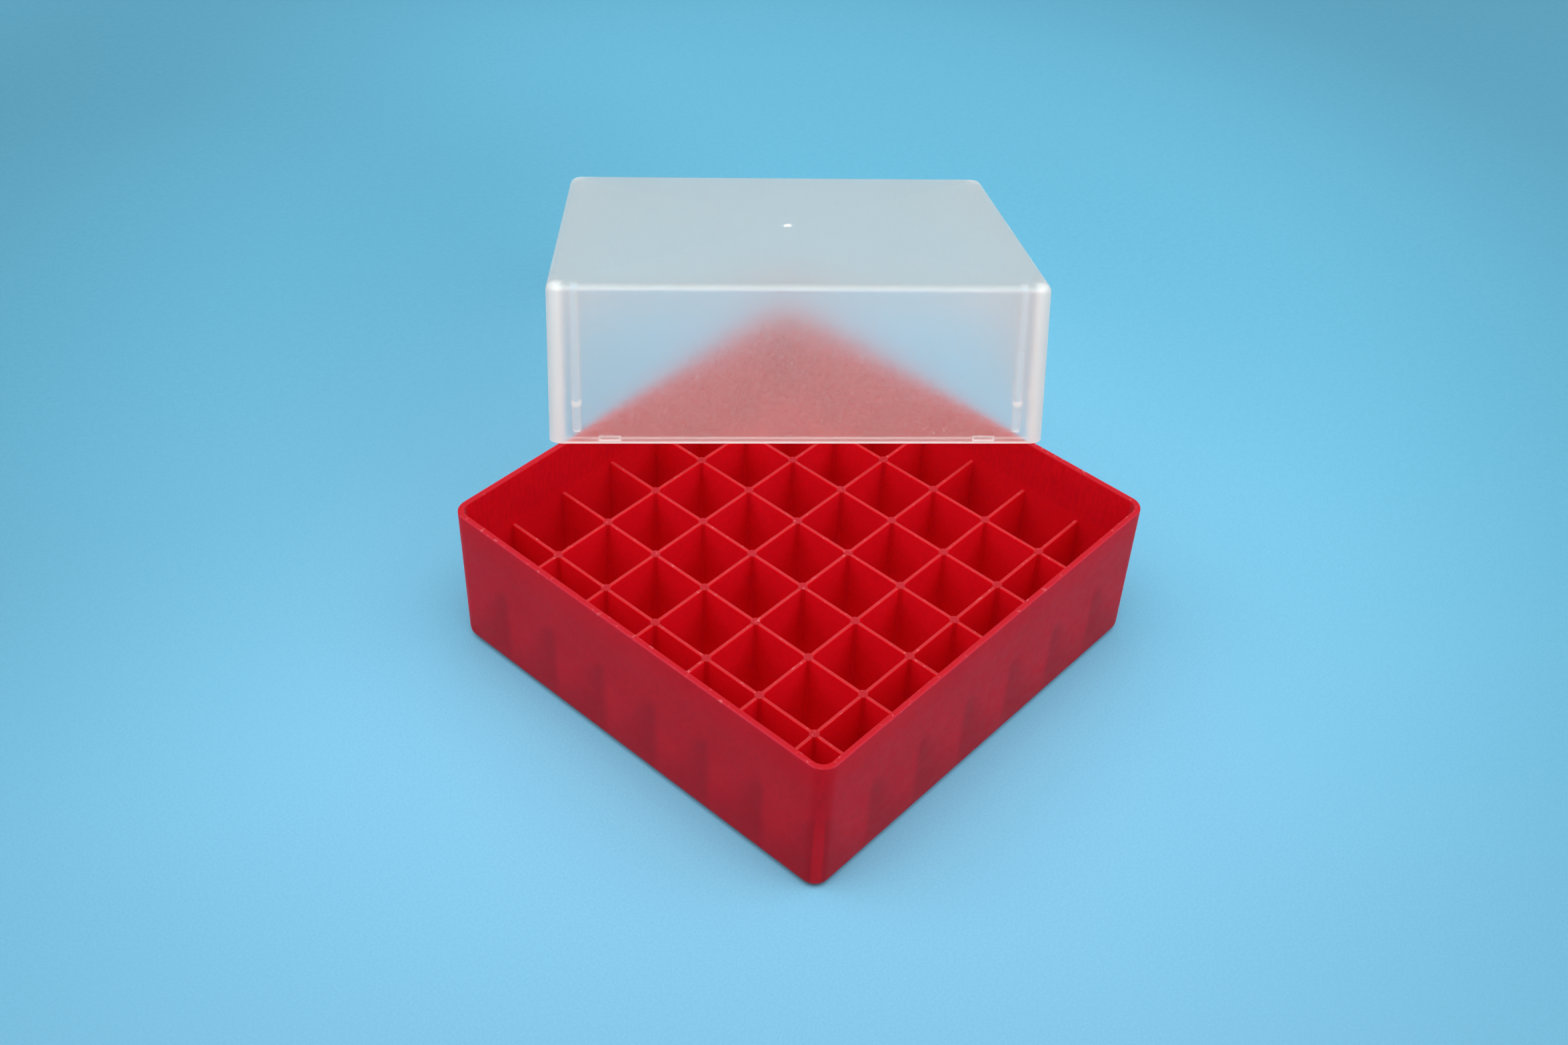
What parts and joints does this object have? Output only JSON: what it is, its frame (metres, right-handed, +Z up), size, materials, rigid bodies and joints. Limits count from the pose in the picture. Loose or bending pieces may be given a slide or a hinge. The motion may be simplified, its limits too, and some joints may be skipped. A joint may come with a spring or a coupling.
{
  "type": "cryogenic storage box",
  "caption": "Square red sample-tube tray with a moulded grid of square cells, and a frosted slip-over lid set down leaning on the tray's rim.",
  "frame": {"origin": "centre of the tray's underside, on the table", "axes": "+Z up, out of the cells; +X and +Y along the tray's dividers, towards the corner that the lid covers"},
  "size_m": [0.2258, 0.2253, 0.0852],
  "materials": {
    "tray_plastic": "satin translucent red polypropylene",
    "lid_plastic": "frosted translucent colourless polypropylene"
  },
  "bodies": {
    "base": {"tray": "tray_plastic", "divider_row_1": "tray_plastic", "divider_row_2": "tray_plastic", "divider_row_3": "tray_plastic", "divider_row_4": "tray_plastic", "divider_row_5": "tray_plastic", "divider_row_6": "tray_plastic", "divider_column_1": "tray_plastic", "divider_column_2": "tray_plastic", "divider_column_3": "tray_plastic", "divider_column_4": "tray_plastic", "divider_column_5": "tray_plastic", "divider_column_6": "tray_plastic", "post_1_1": "tray_plastic", "post_1_2": "tray_plastic", "post_1_3": "tray_plastic", "post_1_4": "tray_plastic", "post_1_5": "tray_plastic", "post_1_6": "tray_plastic", "post_2_1": "tray_plastic", "post_2_2": "tray_plastic", "post_2_3": "tray_plastic", "post_2_4": "tray_plastic", "post_2_5": "tray_plastic", "post_2_6": "tray_plastic", "post_3_1": "tray_plastic", "post_3_2": "tray_plastic", "post_3_3": "tray_plastic", "post_3_4": "tray_plastic", "post_3_5": "tray_plastic", "post_3_6": "tray_plastic", "post_4_1": "tray_plastic", "post_4_2": "tray_plastic", "post_4_3": "tray_plastic", "post_4_4": "tray_plastic", "post_4_5": "tray_plastic", "post_4_6": "tray_plastic", "post_5_1": "tray_plastic", "post_5_2": "tray_plastic", "post_5_3": "tray_plastic", "post_5_4": "tray_plastic", "post_5_5": "tray_plastic", "post_5_6": "tray_plastic", "post_6_1": "tray_plastic", "post_6_2": "tray_plastic", "post_6_3": "tray_plastic", "post_6_4": "tray_plastic", "post_6_5": "tray_plastic", "post_6_6": "tray_plastic"},
    "lid": {"lid": "lid_plastic"}
  },
  "joints": [
    {"name": "lid_lift", "type": "slide", "parent": "base", "child": "lid", "axis": [0, 0, 1], "range_m": [0, 0.12]}
  ]
}
